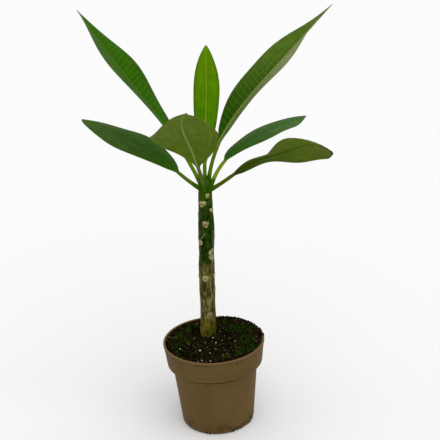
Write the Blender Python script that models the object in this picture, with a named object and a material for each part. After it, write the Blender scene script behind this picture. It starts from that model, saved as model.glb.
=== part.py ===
# Young frangipani with one upright cane and seven leaves, in a round plastic pot filled with peat.
#
# Metres, +Z up. The origin is the middle of the pot's underside, and the pot's axis is the Z axis.
# X runs to the right and Y away from the side where the front leaf leans out.

from math import cos, pi, radians, sin, sqrt

import bmesh
import bpy
import numpy as np

MM = 0.001

# Gap between pieces that touch
GAP = 0.3 * MM

# Pot: a tapered body, and a wider collar round its top
POT_HEIGHT = 105 * MM
RIM_RADIUS = 60 * MM
LIP_HEIGHT = 3.5 * MM
LIP_STAND = 0.7 * MM
COLLAR_HEIGHT = 27.3 * MM
COLLAR_FOOT_RADIUS = 56.5 * MM
STEP_DROP = 1.5 * MM
BODY_TOP_RADIUS = 50.5 * MM
BASE_RADIUS = 43 * MM
FOOT_ROUNDING = 4 * MM
POT_WALL = 1.6 * MM
POT_SIDES = 48

# Drain slots, round the corner between the wall and the floor
SLOT_COUNT = 8
SLOT_FIRST_ANGLE = 29
SLOT_WIDTH = 7 * MM
SLOT_HEIGHT = 3.2 * MM
SLOT_REACH = 7 * MM

# Soil: its level at the edge, the low crown in the middle, the heap at the back right, and the small
# lumps, which die away towards the rim
SOIL_EDGE_HEIGHT = 102.3 * MM
SOIL_CROWN = 5.5 * MM
SOIL_CROWN_WIDTH = 30 * MM
HEAP_HEIGHT = 7.5 * MM
HEAP_ANGLE = 44
HEAP_SPREAD = 50
HEAP_RADIUS = 48 * MM
HEAP_WIDTH = 12 * MM
LUMP_HEIGHT = 0.8 * MM
LUMP_WIDTH = 5 * MM
LUMP_MARGIN = 6 * MM
SOIL_RINGS = 11

# Cane: its axis from the buried foot to the crown. Its thickness is given as height and radius in
# millimetres. It is plain below BURIED_BELOW and above CROWN_ABOVE, and rippled between them.
CANE_FOOT = (-8.1 * MM, 12 * MM, 58 * MM)
CANE_TOP = (1.3 * MM, 12 * MM, 295.8 * MM)
CANE_RADII = (
    (58, 8.4), (64, 9.2), (106, 9.2), (113, 9.6), (125, 9.4), (140, 8.9), (148, 8.8), (160, 9.2),
    (172, 9.1), (180, 9.0), (190, 9.3), (197, 9.4), (210, 8.5), (222, 8.9), (230, 9.4), (245, 9.3),
    (258, 8.5), (270, 8.1), (279, 8.0), (286, 7.8), (288.5, 7.4), (290.5, 6.9), (292.5, 5.9),
    (294.3, 4.3), (295.4, 2.6), (295.8, 1.0),
)
BURIED_BELOW = 110
CROWN_ABOVE = 280
CANE_SIDES = 24
CANE_STEP = 4 * MM
CANE_RIPPLE = 0.3 * MM
RIPPLE_COUNT = 3
RIPPLE_LENGTH = 17 * MM

# Room for the cane in the soil, and for each stalk's foot in the crown
HOLE_CLEARANCE = 0.75 * MM
HOLE_DEPTH_SPARE = 1.5 * MM
SOCKET_REACH = 9 * MM
ROD_SIDES = 18

# Leaf scars: height in millimetres, angle round the cane in degrees (-90 faces the front), half width
# and half height in millimetres
SCARS = (
    (284, -73, 2.6, 3.4), (273.5, -117, 4.2, 4.2), (265, -33, 3.6, 3.6), (258.5, -178, 3.4, 2.8),
    (249.5, -93, 3.8, 4.2), (227, -143, 3.4, 3.4), (214.5, -54, 3.4, 3.8), (207.5, -46, 3.8, 3.6),
    (182, -106, 3.8, 4.2), (184.5, -26, 2.8, 3.0), (166.5, -16, 2.8, 2.6), (134.5, -77, 3.8, 4.4),
    (276, 60, 3.8, 3.8), (256, 110, 3.6, 3.8), (238, 40, 3.8, 4.0), (217, 140, 3.6, 3.8),
    (199, 80, 3.8, 4.0), (181, 155, 3.6, 3.8), (165, 45, 3.8, 4.0), (137, 105, 3.6, 4.0),
)
SCAR_STAND = 0.7 * MM

# Leaves: the blade's thickness, the round stalk that thins into the midrib, how far the midrib stands out
# below and the share of the half width that it takes, the share of the blade over which the stalk flattens
# into it, and how many radians the left margin's wave runs ahead of the right one's
BLADE_THICKNESS = 0.9 * MM
STALK_RADIUS = 2.1 * MM
TIP_RADIUS = 0.5 * MM
RIB_STAND = 1.5 * MM
RIB_SHARE = 0.15
BLADE_BLEND = 0.12
MARGIN_LEAD = 1.1
LEAF_STATIONS = 26

# Points across the blade, from the left margin to the right one, as shares of the half width
ACROSS = (-1, -0.72, -0.4, -0.1, 0, 0.1, 0.4, 0.72, 1)

# Each leaf starts at its foot on the crown and runs along its bearing (degrees from +X towards +Y) at its
# rise (degrees above level), given at even steps from foot to tip. Roll turns the blade about the midrib.
# half is the half width, peak the share of the blade where it is widest, and base and tip the fullness of
# the outline on either side of it. fold lifts the left and right halves, curl drops their margins, and
# wave is the height of the left and right margins' waves, their count and their phase. Lengths are in
# millimetres.
LEAVES = {
    "leaf_upper_left": dict(
        foot=(-2.9, 15.4, 291.8), length=263, stalk=38,
        bearing=(137.5, 140, 140, 135, 132.5), rise=(59, 47, 43, 42, 39), roll=(-13, -18, -10, -25),
        half=30.5, peak=0.53, base=1.18, tip=1.05, fold=(22, 10), curl=(6, 14),
        wave=(0.3, 1.3, 2.1, -10), colour=(0.050, 0.140, 0.012)),
    "leaf_centre": dict(
        foot=(1.2, 11.6, 292.6), length=164, stalk=21,
        bearing=(90, 81, 79.5, 84, 82.5), rise=(59, 59.5, 63, 63.5, 63.5), roll=(-1, -3, -5, 2),
        half=16, peak=0.63, base=0.8, tip=0.77, fold=(28, 22), curl=(4, 12),
        wave=(1.2, 1, 2.4, 10), colour=(0.130, 0.270, 0.010)),
    "leaf_upper_right": dict(
        foot=(4.6, 17.2, 292.5), length=275, stalk=38,
        bearing=(47, 35, 38, 40, 40), rise=(77, 47, 33, 31, 31), roll=(-12, -1, 7, 24),
        half=30, peak=0.49, base=1.11, tip=1.02, fold=(19, 24), curl=(7, 4),
        wave=(2, 2, 2, -120), colour=(0.060, 0.140, 0.025)),
    "leaf_lower_left": dict(
        foot=(-4.5, 9.9, 290.6), length=207, stalk=33,
        bearing=(129.5, 128, 135.5, 145.5, 141.5), rise=(10.5, 19.5, 13.5, 15, 7.5), roll=(2, -5, 1, -3),
        half=29, peak=0.5, base=1.19, tip=0.72, fold=(7, 3), curl=(17, 20),
        wave=(0.4, 1, 2.3, 10), colour=(0.040, 0.115, 0.026)),
    "leaf_front": dict(
        foot=(0.5, 5.2, 289.7), length=232, stalk=33,
        bearing=(-106, -101, -96, -88, -77), rise=(63, 47, 32, 29, 19), roll=(5, 1, -9, -2),
        half=34.5, peak=0.49, base=1.22, tip=1.3, fold=(3, 7), curl=(25, 16),
        wave=(2.3, 2.3, 2.4, 20), colour=(0.095, 0.130, 0.030)),
    "leaf_mid_right": dict(
        foot=(6.6, 10.2, 290.5), length=177, stalk=34,
        bearing=(59.5, 52.5, 40.5, 35, 32.5), rise=(46.5, 20.5, 11.5, 7, 6), roll=(8, 9, 7, -16),
        half=27, peak=0.53, base=1.15, tip=0.99, fold=(6, 9), curl=(18, 16),
        wave=(1.1, 1.1, 1.8, 5), colour=(0.045, 0.125, 0.034)),
    "leaf_lower_right": dict(
        foot=(5.5, 5.8, 289.4), length=196, stalk=34,
        bearing=(-34.5, -39, -38.5, -53, -58), rise=(31, 37, 21, 22, -15.5), roll=(51, 38, 24, 40, 43),
        half=28.5, peak=0.69, base=1.21, tip=0.66, fold=(6, 0), curl=(24, 35),
        wave=(2.6, 2, 2.2, 185), colour=(0.090, 0.120, 0.018)),
}


def clear_scene():
    for item in list(bpy.data.objects):
        bpy.data.objects.remove(item)


def finish(name, colour, roughness):
    """A plain dielectric material in the part's colour."""
    material = bpy.data.materials.new(name)
    material.use_nodes = True
    shader = material.node_tree.nodes["Principled BSDF"]
    shader.inputs["Base Color"].default_value = (*colour, 1)
    shader.inputs["Roughness"].default_value = roughness
    shader.inputs["Metallic"].default_value = 0
    return material


def add_object(name, points, faces, material=None):
    """An object with the given mesh, its faces turned outwards and shaded smooth."""
    mesh = bpy.data.meshes.new(name)
    mesh.from_pydata([tuple(p) for p in points], [], faces)
    build = bmesh.new()
    build.from_mesh(mesh)
    bmesh.ops.recalc_face_normals(build, faces=build.faces)
    build.to_mesh(mesh)
    build.free()
    if material:
        mesh.materials.append(material)
    mesh.shade_smooth()
    item = bpy.data.objects.new(name, mesh)
    bpy.context.scene.collection.objects.link(item)
    return item


def tube_faces(rings, ring_size, mirrored_from=None):
    """Triangles of a closed tube: bands between the rings, and a fan on each end point.

    A blade's rings run along its upper side and back along its lower one. With mirrored_from at the first
    point of the lower side, the bands there are split along the other diagonal, so that both sides of a
    waved blade bend alike.
    """
    faces = []
    for row in range(rings - 1):
        for k in range(ring_size):
            a = row * ring_size + k
            b = row * ring_size + (k + 1) % ring_size
            c, d = b + ring_size, a + ring_size
            if mirrored_from is None or k < mirrored_from:
                faces += [(a, b, c), (a, c, d)]
            else:
                faces += [(a, b, d), (b, c, d)]
    start, end = rings * ring_size, rings * ring_size + 1
    last = (rings - 1) * ring_size
    for k in range(ring_size):
        following = (k + 1) % ring_size
        faces.append((start, following, k))
        faces.append((end, last + k, last + following))
    return faces


def turned(profile, sides):
    """Points of a shape turned about Z from (radius, height) pairs, whose ends lie on the axis."""
    angles = [2 * pi * k / sides for k in range(sides)]
    points = [(r * cos(a), r * sin(a), z) for r, z in profile[1:-1] for a in angles]
    points.append((0, 0, profile[0][1]))
    points.append((0, 0, profile[-1][1]))
    return points


def pot_inside(clearance):
    """The pot's inner profile from its floor to its rim, drawn in by a clearance."""
    inset = POT_WALL + clearance
    step_height = POT_HEIGHT - COLLAR_HEIGHT
    floor = POT_WALL + clearance
    return [
        (BASE_RADIUS - FOOT_ROUNDING - clearance, floor),
        (BASE_RADIUS - inset, FOOT_ROUNDING + clearance),
        (BODY_TOP_RADIUS - inset, step_height - STEP_DROP + inset),
        (COLLAR_FOOT_RADIUS - inset, step_height + inset),
        (RIM_RADIUS - LIP_STAND - inset, POT_HEIGHT),
    ]


def pot_profile():
    """Outer and inner profile of the pot, from the middle of its underside round to its floor."""
    step_height = POT_HEIGHT - COLLAR_HEIGHT
    rounding = [
        (BASE_RADIUS - FOOT_ROUNDING * (1 - sin(a)), FOOT_ROUNDING * (1 - cos(a)))
        for a in (0, pi / 6, pi / 3, pi / 2)
    ]
    outer = [
        (BODY_TOP_RADIUS, step_height - STEP_DROP),
        (COLLAR_FOOT_RADIUS, step_height),
        (RIM_RADIUS - LIP_STAND, POT_HEIGHT - LIP_HEIGHT),
        (RIM_RADIUS, POT_HEIGHT - LIP_HEIGHT + LIP_STAND),
        (RIM_RADIUS, POT_HEIGHT - LIP_STAND / 2),
        (RIM_RADIUS - LIP_STAND / 2, POT_HEIGHT),
    ]
    inner = list(reversed(pot_inside(0)))
    return [(0, 0)] + rounding + outer + inner + [(0, POT_WALL)]


def cut(item, cutter):
    """Take the cutter's shape out of an object, and hide the cutter."""
    cutter.hide_render = True
    cutter.display_type = "WIRE"
    boolean = item.modifiers.new("cut", "BOOLEAN")
    boolean.operation = "DIFFERENCE"
    boolean.object = cutter


def drain_cutter():
    """Boxes round the pot's lower corner, in one mesh."""
    build = bmesh.new()
    for k in range(SLOT_COUNT):
        angle = radians(SLOT_FIRST_ANGLE + 360 * k / SLOT_COUNT)
        for corner in bmesh.ops.create_cube(build, size=1)["verts"]:
            x = BASE_RADIUS - SLOT_REACH if corner.co.x < 0 else BASE_RADIUS + POT_WALL
            y = corner.co.y * SLOT_WIDTH
            z = corner.co.z * 2 * SLOT_HEIGHT
            corner.co = (x * cos(angle) - y * sin(angle), x * sin(angle) + y * cos(angle), z)
    mesh = bpy.data.meshes.new("drain_cutter")
    build.to_mesh(mesh)
    build.free()
    cutter = bpy.data.objects.new("drain_cutter", mesh)
    bpy.context.scene.collection.objects.link(cutter)
    return cutter


def make_pot():
    profile = pot_profile()
    points = turned(profile, POT_SIDES)
    faces = tube_faces(len(profile) - 2, POT_SIDES)
    pot = add_object("pot", points, faces, finish("pot_plastic", (0.120, 0.075, 0.026), 0.5))
    cut(pot, drain_cutter())
    return pot


def soil_height(x, y):
    """Height of the soil's top: a low crown, a heap and small lumps."""
    radius = np.hypot(x, y)
    angle = np.degrees(np.arctan2(y, x))
    level = SOIL_EDGE_HEIGHT + SOIL_CROWN * np.exp(-(radius / SOIL_CROWN_WIDTH) ** 2)
    off_heap = (angle - HEAP_ANGLE + 180) % 360 - 180
    heap = np.exp(-(off_heap / HEAP_SPREAD) ** 2 - ((radius - HEAP_RADIUS) / HEAP_WIDTH) ** 2)
    lumps = sin(x / LUMP_WIDTH) * sin(y / LUMP_WIDTH) + sin((x + y) / LUMP_WIDTH)
    edge = np.clip((RIM_RADIUS - radius) / LUMP_MARGIN, 0, 1)
    return level + HEAP_HEIGHT * heap * sqrt(edge) + LUMP_HEIGHT * lumps * edge


def soil_edge_radius(height):
    """Radius of the soil's edge, just inside the pot's wall, at a height above the step."""
    low, high = pot_inside(GAP)[-2:]
    share = (height - low[1]) / (high[1] - low[1])
    return low[0] + share * (high[0] - low[0])


def make_soil():
    """The peat from the pot's floor up, its top in rings of points that follow soil_height."""
    below = pot_inside(GAP)[:-1]
    edge_radius = soil_edge_radius(SOIL_EDGE_HEIGHT)
    points = []
    for radius, height in below:
        for k in range(POT_SIDES):
            angle = 2 * pi * k / POT_SIDES
            points.append((radius * cos(angle), radius * sin(angle), height))
    for ring in range(SOIL_RINGS):
        radius = edge_radius * (1 - ring / SOIL_RINGS)
        for k in range(POT_SIDES):
            angle = 2 * pi * k / POT_SIDES
            x, y = radius * cos(angle), radius * sin(angle)
            points.append((x, y, soil_height(x, y)))
    points.append((0, 0, below[0][1]))
    points.append((0, 0, soil_height(0, 0)))
    faces = tube_faces(len(below) + SOIL_RINGS, POT_SIDES)
    soil = add_object("soil", points, faces, finish("potting_soil", (0.010, 0.007, 0.004), 0.95))
    cut(soil, hole_cutter())
    return soil


def cane_axis(height):
    """Point on the cane's axis at a height."""
    share = (height - CANE_FOOT[2]) / (CANE_TOP[2] - CANE_FOOT[2])
    return np.array(CANE_FOOT) * (1 - share) + np.array(CANE_TOP) * share


def cane_radius(height):
    heights, radii = zip(*CANE_RADII)
    return np.interp(height / MM, heights, radii) * MM


def hole_cutter():
    """A plain hole for the cane, open at the soil's top."""
    bottom = cane_axis(CANE_FOOT[2] - HOLE_DEPTH_SPARE)
    top = cane_axis(POT_HEIGHT + HEAP_HEIGHT + SOIL_CROWN)
    length = np.linalg.norm(top - bottom)
    forward = (top - bottom) / length
    side = np.cross(forward, (0, 1, 0))
    buried_radius = max(radius for height, radius in CANE_RADII if height < BURIED_BELOW) * MM
    side /= np.linalg.norm(side)
    return rod("hole_cutter", bottom, forward, side, length, buried_radius + HOLE_CLEARANCE)


def rod(name, start, forward, side, length, radius):
    """A plain round cutter that starts at a point and runs forward."""
    up = np.cross(side, forward)
    points = []
    for reach in (0, length):
        for k in range(ROD_SIDES):
            angle = 2 * pi * k / ROD_SIDES
            points.append(start + forward * reach + radius * (side * cos(angle) + up * sin(angle)))
    points.append(start)
    points.append(start + forward * length)
    return add_object(name, points, tube_faces(2, ROD_SIDES))


def socket_cutter(name, leaf):
    """Room in the crown for the foot of a leaf's stalk."""
    middles, sides, ups = midrib(leaf, np.zeros(1))
    forward = np.cross(ups[0], sides[0])
    start = middles[0] - forward * GAP
    return rod("socket_" + name, start, forward, sides[0], SOCKET_REACH, STALK_RADIUS + GAP)


def scar_relief(height, angle):
    """How far the leaf scars stand out of the cane at a height and an angle in radians."""
    relief = 0
    for scar_height, scar_angle, half_width, half_height in SCARS:
        turn = (angle - radians(scar_angle) + pi) % (2 * pi) - pi
        across = turn * cane_radius(height) / (half_width * MM)
        along = (height - scar_height * MM) / (half_height * MM)
        relief = max(relief, 1 - (across ** 2 + along ** 2) ** 2)
    return relief * SCAR_STAND


def make_cane():
    """The cane in rings of points, with its scars raised and a socket cut for every stalk."""
    below = [h * MM for h, r in CANE_RADII if h < BURIED_BELOW]
    crown = [h * MM for h, r in CANE_RADII if h > CROWN_ABOVE]
    rows = int((crown[0] - below[-1]) / CANE_STEP)
    between = [below[-1] + (crown[0] - below[-1]) * k / rows for k in range(1, rows)]
    heights = below + between + crown
    points = []
    for height in heights:
        for k in range(CANE_SIDES):
            angle = 2 * pi * k / CANE_SIDES
            radius = cane_radius(height)
            if below[-1] < height < crown[0]:
                radius += CANE_RIPPLE * sin(RIPPLE_COUNT * angle + height / RIPPLE_LENGTH)
                radius += scar_relief(height, angle)
            points.append(cane_axis(height) + np.array((radius * cos(angle), radius * sin(angle), 0)))
    points.append(cane_axis(heights[0]))
    points.append(cane_axis(heights[-1]))
    faces = tube_faces(len(heights), CANE_SIDES)
    cane = add_object("cane", points, faces, finish("cane_bark", (0.075, 0.085, 0.025), 0.7))
    for name, leaf in LEAVES.items():
        cut(cane, socket_cutter(name, leaf))
    return cane


def smooth(values, share):
    """Smooth curve through evenly spaced values, read at shares from 0 to 1."""
    values = np.asarray(values, float)
    before, after = 2 * values[0] - values[1], 2 * values[-1] - values[-2]
    values = np.concatenate([[before], values, [after]])
    place = np.clip(share, 0, 1) * (len(values) - 3)
    first = np.minimum(place.astype(int), len(values) - 4)
    f = place - first
    a, b, c, d = (values[first + k] for k in range(4))
    return b + 0.5 * f * (c - a + f * (2 * a - 5 * b + 4 * c - d + f * (3 * (b - c) + d - a)))


def midrib(leaf, share):
    """Points, sideways and upward directions along the midrib."""
    bearing = np.radians(smooth(leaf["bearing"], share))
    rise = np.radians(smooth(leaf["rise"], share))
    roll = np.radians(smooth(leaf["roll"], share))[:, None]
    flat = np.cos(rise)
    forward = np.stack([flat * np.cos(bearing), flat * np.sin(bearing), np.sin(rise)], 1)
    level = np.stack([np.sin(bearing), -np.cos(bearing), np.zeros(len(share))], 1)
    step = (forward[1:] + forward[:-1]) / 2 * np.diff(share)[:, None] * leaf["length"] * MM
    points = np.vstack([np.zeros(3), np.cumsum(step, axis=0)]) + np.array(leaf["foot"]) * MM
    upright = np.cross(level, forward)
    side = level * np.cos(roll) + upright * np.sin(roll)
    up = upright * np.cos(roll) - level * np.sin(roll)
    return points, side, up


def half_width(leaf, blade):
    """Half width of the blade, from 0 at its base (blade 0) to 0 at its tip (blade 1)."""
    peak = leaf["peak"]
    if blade < peak:
        share, fullness = blade / peak, leaf["base"]
    else:
        share, fullness = (1 - blade) / (1 - peak), leaf["tip"]
    return leaf["half"] * MM * sin(pi / 2 * share) ** fullness


def blade_section(leaf, blade, width, across):
    """Sideways and upward place of the blade's middle surface at a share of the half width."""
    right = across > 0
    fold, curl = radians(leaf["fold"][right]), radians(leaf["curl"][right])
    reach = abs(across)
    sideways = (sin(fold) - sin(fold - curl * reach)) / curl
    upward = (cos(fold - curl * reach) - cos(fold)) / curl
    left_height, right_height, count, phase = leaf["wave"]
    height = right_height if right else left_height
    turn = 2 * pi * count * blade + radians(phase) + (0 if right else MARGIN_LEAD)
    wave = height * MM * reach ** 2 * sin(turn) * sin(pi * blade)
    return (1 if right else -1) * sideways * width, upward * width + wave


def leaf_ring(leaf, blade):
    """Closed section of the leaf: the upper side left to right, then the lower side back."""
    rib = STALK_RADIUS + (TIP_RADIUS - STALK_RADIUS) * blade
    width = np.hypot(half_width(leaf, blade), rib)
    flatness = min(blade / BLADE_BLEND, 1)
    flatness = flatness * flatness * (3 - 2 * flatness)
    count = len(ACROSS)
    upper, lower = [], []
    for k, across in enumerate(ACROSS):
        angle = pi * (1 - (k + 0.5) / count)
        x, z = blade_section(leaf, blade, width, across)
        bump = RIB_STAND * (1 - blade) * sqrt(max(0, 1 - abs(across) / RIB_SHARE))
        round_x, round_z = rib * cos(angle), rib * sin(angle)
        x = round_x + (x - round_x) * flatness
        top = round_z + (z + BLADE_THICKNESS / 2 - round_z) * flatness
        bottom = -round_z + (z - BLADE_THICKNESS / 2 - bump + round_z) * flatness
        upper.append((x, top))
        lower.append((x, bottom))
    return upper + lower[::-1]


def make_leaf(name, leaf):
    """One leaf as a closed tube: a round stalk that flattens into the blade."""
    share = np.linspace(0, 1, LEAF_STATIONS)
    middles, sides, ups = midrib(leaf, share)
    stalk = leaf["stalk"] / leaf["length"]
    points = []
    for place, middle, side, up in zip(share, middles, sides, ups):
        blade = min(max((place - stalk) / (1 - stalk), 0), 1)
        for x, z in leaf_ring(leaf, blade):
            points.append(middle + side * x + up * z)
    points.append(middles[0])
    points.append(middles[-1])
    faces = tube_faces(LEAF_STATIONS, 2 * len(ACROSS), mirrored_from=len(ACROSS))
    return add_object(name, points, faces, finish(name + "_green", leaf["colour"], 0.45))


clear_scene()
make_pot()
make_soil()
make_cane()
for leaf_name, leaf_sizes in LEAVES.items():
    make_leaf(leaf_name, leaf_sizes)
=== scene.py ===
from math import cos, pi, radians, sin

import bpy
import numpy as np
from mathutils import Matrix, Vector, noise


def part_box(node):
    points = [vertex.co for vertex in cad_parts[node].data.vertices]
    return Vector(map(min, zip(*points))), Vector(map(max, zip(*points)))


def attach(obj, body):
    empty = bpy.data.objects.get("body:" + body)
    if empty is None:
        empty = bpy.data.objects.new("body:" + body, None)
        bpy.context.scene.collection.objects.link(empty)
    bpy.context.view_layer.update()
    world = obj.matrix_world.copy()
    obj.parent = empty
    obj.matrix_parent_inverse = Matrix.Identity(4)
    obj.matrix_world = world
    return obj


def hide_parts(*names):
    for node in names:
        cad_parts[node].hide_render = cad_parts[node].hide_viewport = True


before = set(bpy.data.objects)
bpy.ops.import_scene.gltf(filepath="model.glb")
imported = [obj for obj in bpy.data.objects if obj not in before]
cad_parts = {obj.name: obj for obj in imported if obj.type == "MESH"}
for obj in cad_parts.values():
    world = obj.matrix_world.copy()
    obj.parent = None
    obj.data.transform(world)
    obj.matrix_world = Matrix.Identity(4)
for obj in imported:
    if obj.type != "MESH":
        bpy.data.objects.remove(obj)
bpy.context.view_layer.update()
MM = 0.001

# Camera
# The photograph is taken from the front and a little above, with a long lens, and it leans slightly.
VIEW_DISTANCE = 1.1
VIEW_ELEVATION = 20.98
VIEW_ROLL = -3.307
VIEW_TARGET = Vector((0.01563, 0, 0.25524))
LENS = 79.62
SENSOR = 36
PICTURE_SIZE = 440

camera_data = bpy.data.cameras.new("camera")
camera_data.lens = LENS
camera_data.sensor_width = SENSOR
camera_data.clip_start = 0.05
camera_data.clip_end = 50
camera = bpy.data.objects.new("camera", camera_data)
bpy.context.scene.collection.objects.link(camera)
bpy.context.scene.camera = camera
tilt = Matrix.Rotation(radians(90 - VIEW_ELEVATION), 4, "X") @ Matrix.Rotation(radians(VIEW_ROLL), 4, "Z")
camera.matrix_world = Matrix.Translation(VIEW_TARGET) @ tilt @ Matrix.Translation((0, 0, VIEW_DISTANCE))


# Pot
# A thin-walled nursery pot moulded in taupe brown plastic: a tapered body, a wider collar with a small lip
# round its rim, and drain slots where the wall meets the floor. It is matt, with soil stains at its foot.
POT_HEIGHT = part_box("pot")[1].z
RIM_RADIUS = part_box("pot")[1].x
LIP_HEIGHT = 3.5 * MM
LIP_STAND = 0.7 * MM
COLLAR_HEIGHT = 27.3 * MM
COLLAR_FOOT_RADIUS = 56.5 * MM
STEP_DROP = 1.5 * MM
STEP_HEIGHT = POT_HEIGHT - COLLAR_HEIGHT
BODY_TOP_RADIUS = 50.5 * MM
BASE_RADIUS = 43 * MM
FOOT_ROUNDING = 4 * MM
POT_WALL = 1.6 * MM
POT_SIDES = 256
BASE_HOLLOW = 0.7 * MM
BASE_RING = 5 * MM
SLOT_COUNT = 8
SLOT_FIRST_ANGLE = 29
SLOT_WIDTH = 7 * MM
SLOT_HEIGHT = 3.2 * MM
SLOT_REACH = 7 * MM
COLLAR_RINGS = (0.0965, 0.0895, 0.0835)
# Small stains on the pot: height and angle round it, radius in millimetres and degrees, and strength
POT_MARKS = (
    (24.6, -90, 0.7, 0.6), (39, -122, 0.6, 0.5), (69.8, -103, 2.2, 0.3), (71.5, -62, 0.8, 0.3),
    (18, -157, 1.2, 0.5), (17, -36, 0.6, 0.5), (100.2, -64, 1.5, 0.6), (101.5, -96, 1.0, 0.4),
    (10.7, -141, 1.3, 0.8), (6.6, -142, 1.2, 0.8), (20.3, -98, 0.5, 0.5), (2.7, -65, 1.8, 0.8),
    (4.3, -60, 1.5, 0.8), (7, -40, 0.8, 0.7), (12, 100, 1.2, 0.6), (30, 150, 0.8, 0.5), (64, 70, 1.0, 0.4),
)


def tone(red, green, blue):
    """Linear colour of a screen colour given from 0 to 255."""
    shares = [value / 255 for value in (red, green, blue)]
    linear = [v / 12.92 if v <= 0.04045 else ((v + 0.055) / 1.055) ** 2.4 for v in shares]
    return (*linear, 1)


def add_node(tree, kind, inputs=None, **settings):
    """A node with its settings, and its inputs linked or set."""
    item = tree.nodes.new(kind)
    for name, value in settings.items():
        setattr(item, name, value)
    for name, value in (inputs or {}).items():
        if isinstance(value, bpy.types.NodeSocket):
            tree.links.new(value, item.inputs[name])
        else:
            item.inputs[name].default_value = value
    return item


def new_finish(name, roughness, gloss):
    """A principled material, and its tree. Gloss is the specular level."""
    material = bpy.data.materials.new(name)
    material.use_nodes = True
    shader = material.node_tree.nodes["Principled BSDF"]
    shader.inputs["Roughness"].default_value = roughness
    shader.inputs["Specular IOR Level"].default_value = gloss
    return material, material.node_tree, shader


def place(tree):
    return add_node(tree, "ShaderNodeTexCoord").outputs["Object"]


def grain(tree, scale, detail=3, vector=None, stretch=None):
    """Noise from 0 to 1 over the piece. Stretch scales the pattern along each axis."""
    vector = vector or place(tree)
    if stretch:
        vector = add_node(tree, "ShaderNodeMapping", {"Vector": vector, "Scale": stretch}).outputs[0]
    return add_node(tree, "ShaderNodeTexNoise", {"Vector": vector, "Scale": scale, "Detail": detail}).outputs["Fac"]


def spread(tree, value, low, high, to_low=0, to_high=1):
    """Smooth step of a value from one range to another."""
    inputs = {"Value": value, "From Min": low, "From Max": high, "To Min": to_low, "To Max": to_high}
    return add_node(tree, "ShaderNodeMapRange", inputs, interpolation_type="SMOOTHSTEP").outputs[0]


def sums(tree, operation, first, second=0.0):
    return add_node(tree, "ShaderNodeMath", {0: first, 1: second}, operation=operation).outputs[0]


def blend(tree, share, first, second, mode="MIX"):
    """Mix of two colours, each a socket or a colour."""
    item = add_node(tree, "ShaderNodeMix", data_type="RGBA", blend_type=mode)
    for index, value in ((0, share), (6, first), (7, second)):
        if isinstance(value, bpy.types.NodeSocket):
            tree.links.new(value, item.inputs[index])
        else:
            item.inputs[index].default_value = value
    return item.outputs[2]


def height_of(tree):
    return add_node(tree, "ShaderNodeSeparateXYZ", {0: place(tree)}).outputs["Z"]


def emboss(tree, shader, value, depth, strength=1.0):
    item = add_node(tree, "ShaderNodeBump", {"Height": value, "Distance": depth, "Strength": strength})
    tree.links.new(item.outputs[0], shader.inputs["Normal"])


def rounded(corners, steps=6):
    """An outline whose corners, each (radius, height, rounding), are eased with short curves."""
    outline = []
    for k, (x, z, rounding) in enumerate(corners):
        here = np.array((x, z))
        if rounding == 0 or k in (0, len(corners) - 1):
            outline.append((x, z))
            continue
        before = np.array(corners[k - 1][:2]) - here
        after = np.array(corners[k + 1][:2]) - here
        start = here + before * min(rounding / np.linalg.norm(before), 0.5)
        end = here + after * min(rounding / np.linalg.norm(after), 0.5)
        for share in np.linspace(0, 1, steps):
            outline.append(tuple(start * (1 - share) ** 2 + 2 * here * share * (1 - share) + end * share ** 2))
    return outline


def add_piece(name, points, faces, *materials):
    """A smooth-shaded piece from a closed mesh, its faces turned outwards."""
    mesh = bpy.data.meshes.new(name)
    mesh.from_pydata([tuple(p) for p in points], [], faces)
    for material in materials:
        mesh.materials.append(material)
    mesh.shade_smooth()
    piece = bpy.data.objects.new(name, mesh)
    bpy.context.scene.collection.objects.link(piece)
    return piece


def tube_faces(rings, size):
    """Faces of a closed tube of rings, with a fan on an end point at each end."""
    faces = []
    for row in range(rings - 1):
        for k in range(size):
            a = row * size + k
            b = row * size + (k + 1) % size
            faces.append((a, b, b + size, a + size))
    last = (rings - 1) * size
    for k in range(size):
        following = (k + 1) % size
        faces.append((rings * size, following, k))
        faces.append((rings * size + 1, last + k, last + following))
    return faces


def turned(outline, sides):
    """Points of an outline turned about Z. Its ends lie on the axis."""
    angles = [2 * pi * k / sides for k in range(sides)]
    points = [(r * cos(a), r * sin(a), z) for r, z in outline[1:-1] for a in angles]
    return points + [(0, 0, outline[0][1]), (0, 0, outline[-1][1])]


def made_plain(piece):
    """The piece's mesh as its modifiers leave it, with the modifiers removed."""
    graph = bpy.context.evaluated_depsgraph_get()
    mesh = bpy.data.meshes.new_from_object(piece.evaluated_get(graph))
    piece.modifiers.clear()
    piece.data = mesh
    mesh.name = piece.name
    return piece


def band(tree, value, low, high, soft):
    """1 where a value lies between low and high, fading out over a soft edge."""
    return sums(tree, "MULTIPLY", spread(tree, value, low - soft, low), spread(tree, value, high + soft, high))


def on_wall(height, angle):
    """The point of the pot's body at a height in millimetres and an angle in degrees."""
    radius = BASE_RADIUS + (BODY_TOP_RADIUS - BASE_RADIUS) * height * MM / (STEP_HEIGHT - STEP_DROP)
    radius = radius if height * MM < STEP_HEIGHT else RIM_RADIUS - LIP_STAND
    return Vector((radius * cos(radians(angle)), radius * sin(radians(angle)), height * MM))


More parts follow.
